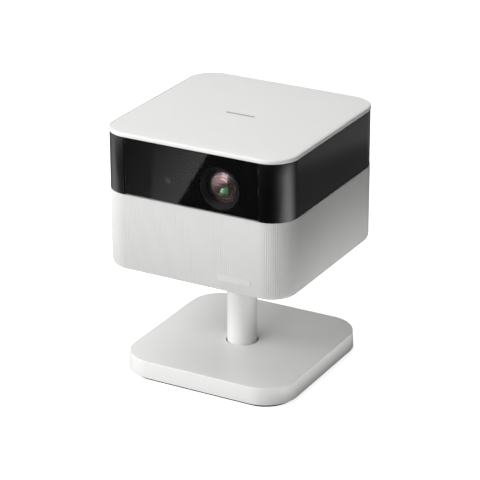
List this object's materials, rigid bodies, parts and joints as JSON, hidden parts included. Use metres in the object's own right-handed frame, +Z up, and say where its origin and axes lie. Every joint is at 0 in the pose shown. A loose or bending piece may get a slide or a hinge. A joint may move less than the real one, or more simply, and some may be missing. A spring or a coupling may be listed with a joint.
{
  "type": "home projector",
  "caption": "Square desktop projector head with a smoked front window and an offset lens, on a round pole that swivels and tilts, over a weighted square base.",
  "frame": {"origin": "on the floor under the middle of the base", "axes": "+Z up along the pole; the lens looks along -Y; +X is on the right of somebody who looks at the lens"},
  "size_m": [0.19, 0.19, 0.2478],
  "materials": {
    "white_casing": "smooth satin",
    "ribbed_casing": "fine upright ribs",
    "inlay_grey": "smooth",
    "band_black": "satin gloss",
    "window_smoked": "polished",
    "inner_black": "matte",
    "panel_black": "fine texture",
    "button_grey": "smooth",
    "frame_plastic": "moulded",
    "steel": "brushed",
    "painted_white": "satin paint",
    "aluminium": "as machined",
    "copper": "bare copper",
    "board_green": "lacquered board",
    "lens_glass": "coated",
    "lamp_white": "ceramic",
    "rubber_black": "matte",
    "paper_grey": "pressed paper"
  },
  "bodies": {
    "base": {"base_cover": "white_casing", "base_weight": "steel", "base_plate": "steel", "base_foot": "rubber_black", "base_screws": "steel"},
    "pole": {"pole_tube": "painted_white", "pole_flange": "steel", "tilt_knuckle": "aluminium"},
    "head": {"top_cover": "white_casing", "top_inlay": "inlay_grey", "band_shell": "band_black", "cover_screws": "steel", "front_window": "window_smoked", "window_mask": "inner_black", "ribbed_skin": "ribbed_casing", "lower_case": "ribbed_casing", "bottom_cover": "ribbed_casing", "tilt_well": "inner_black", "rear_panel": "panel_black", "speaker_badge": "inlay_grey", "button_board": "board_green", "lens_barrel": "inner_black", "lens_bezel": "panel_black", "front_element": "lens_glass", "focus_clip": "inner_black", "focus_motor": "steel", "engine_housing": "aluminium", "engine_lid": "aluminium", "prism": "lens_glass", "lcd_panels": "inner_black", "condenser_lenses": "lens_glass", "led_modules": "lamp_white", "heat_sink": "aluminium", "heat_pipes": "copper", "exhaust_fan_frame": "inner_black", "intake_fan_frame": "inner_black", "chassis": "frame_plastic", "main_board": "board_green", "signal_sockets": "steel", "audio_jack": "inner_black", "dc_inlet": "inner_black", "sensor_modules": "inner_black", "speaker_box": "frame_plastic", "speaker_frames": "steel", "speaker_surrounds": "rubber_black", "tilt_bracket": "steel", "tilt_axle": "steel", "friction_discs": "steel"},
    "focus_cell": {"focus_cell": "inner_black", "rear_element": "lens_glass"},
    "focus_ring": {"focus_ring": "frame_plastic"},
    "focus_pinion": {"focus_pinion": "steel"},
    "exhaust_rotor": {"exhaust_rotor": "inner_black"},
    "intake_rotor": {"intake_rotor": "inner_black"},
    "left_cone": {"left_cone": "paper_grey"},
    "right_cone": {"right_cone": "paper_grey"},
    "power_button": {"power_button": "button_grey"},
    "source_button": {"source_button": "button_grey"},
    "volume_down_button": {"volume_down_button": "button_grey"},
    "volume_up_button": {"volume_up_button": "button_grey"}
  },
  "joints": [
    {"name": "swivel", "type": "hinge", "parent": "base", "child": "pole", "pos_m": [0, 0, 0.0117], "axis": [0, 0, 1], "continuous": true},
    {"name": "tilt", "type": "hinge", "parent": "pole", "child": "head", "pos_m": [0, 0, 0.132], "axis": [-1, 0, 0], "range_deg": [-10, 90]},
    {"name": "focus_turn", "type": "hinge", "parent": "head", "child": "focus_ring", "pos_m": [0.0282, -0.0665, 0.2115], "axis": [0, -1, 0], "range_deg": [-30.3, 30.3]},
    {"name": "focus_slide", "type": "slide", "parent": "head", "child": "focus_cell", "axis": [0, 1, 0], "range_m": [-0.0015, 0.0015]},
    {"name": "pinion_turn", "type": "hinge", "parent": "head", "child": "focus_pinion", "pos_m": [0.00395, -0.0665, 0.2255], "axis": [0, -1, 0], "range_deg": [-212, 212]},
    {"name": "exhaust_spin", "type": "hinge", "parent": "head", "child": "exhaust_rotor", "pos_m": [-0.037, 0.078, 0.216], "axis": [0, 1, 0], "continuous": true},
    {"name": "intake_spin", "type": "hinge", "parent": "head", "child": "intake_rotor", "pos_m": [-0.054, 0.032, 0.163], "axis": [0, 0, 1], "continuous": true},
    {"name": "left_cone_travel", "type": "slide", "parent": "head", "child": "left_cone", "axis": [0, 1, 0], "range_m": [-0.001, 0.001], "stiffness_N_per_m": 1500},
    {"name": "right_cone_travel", "type": "slide", "parent": "head", "child": "right_cone", "axis": [0, 1, 0], "range_m": [-0.001, 0.001], "stiffness_N_per_m": 1500},
    {"name": "power_press", "type": "slide", "parent": "head", "child": "power_button", "axis": [0, -1, 0], "range_m": [0, 0.0008], "stiffness_N_per_m": 1500, "springref_m": -0.0003},
    {"name": "source_press", "type": "slide", "parent": "head", "child": "source_button", "axis": [0, -1, 0], "range_m": [0, 0.0008], "stiffness_N_per_m": 1500, "springref_m": -0.0003},
    {"name": "volume_down_press", "type": "slide", "parent": "head", "child": "volume_down_button", "axis": [0, -1, 0], "range_m": [0, 0.0008], "stiffness_N_per_m": 1500, "springref_m": -0.0003},
    {"name": "volume_up_press", "type": "slide", "parent": "head", "child": "volume_up_button", "axis": [0, -1, 0], "range_m": [0, 0.0008], "stiffness_N_per_m": 1500, "springref_m": -0.0003}
  ],
  "couplings": [
    {"joint": "focus_turn", "follows": "focus_slide", "rad_per_m": 349.65},
    {"joint": "pinion_turn", "follows": "focus_slide", "rad_per_m": -2447.6}
  ]
}
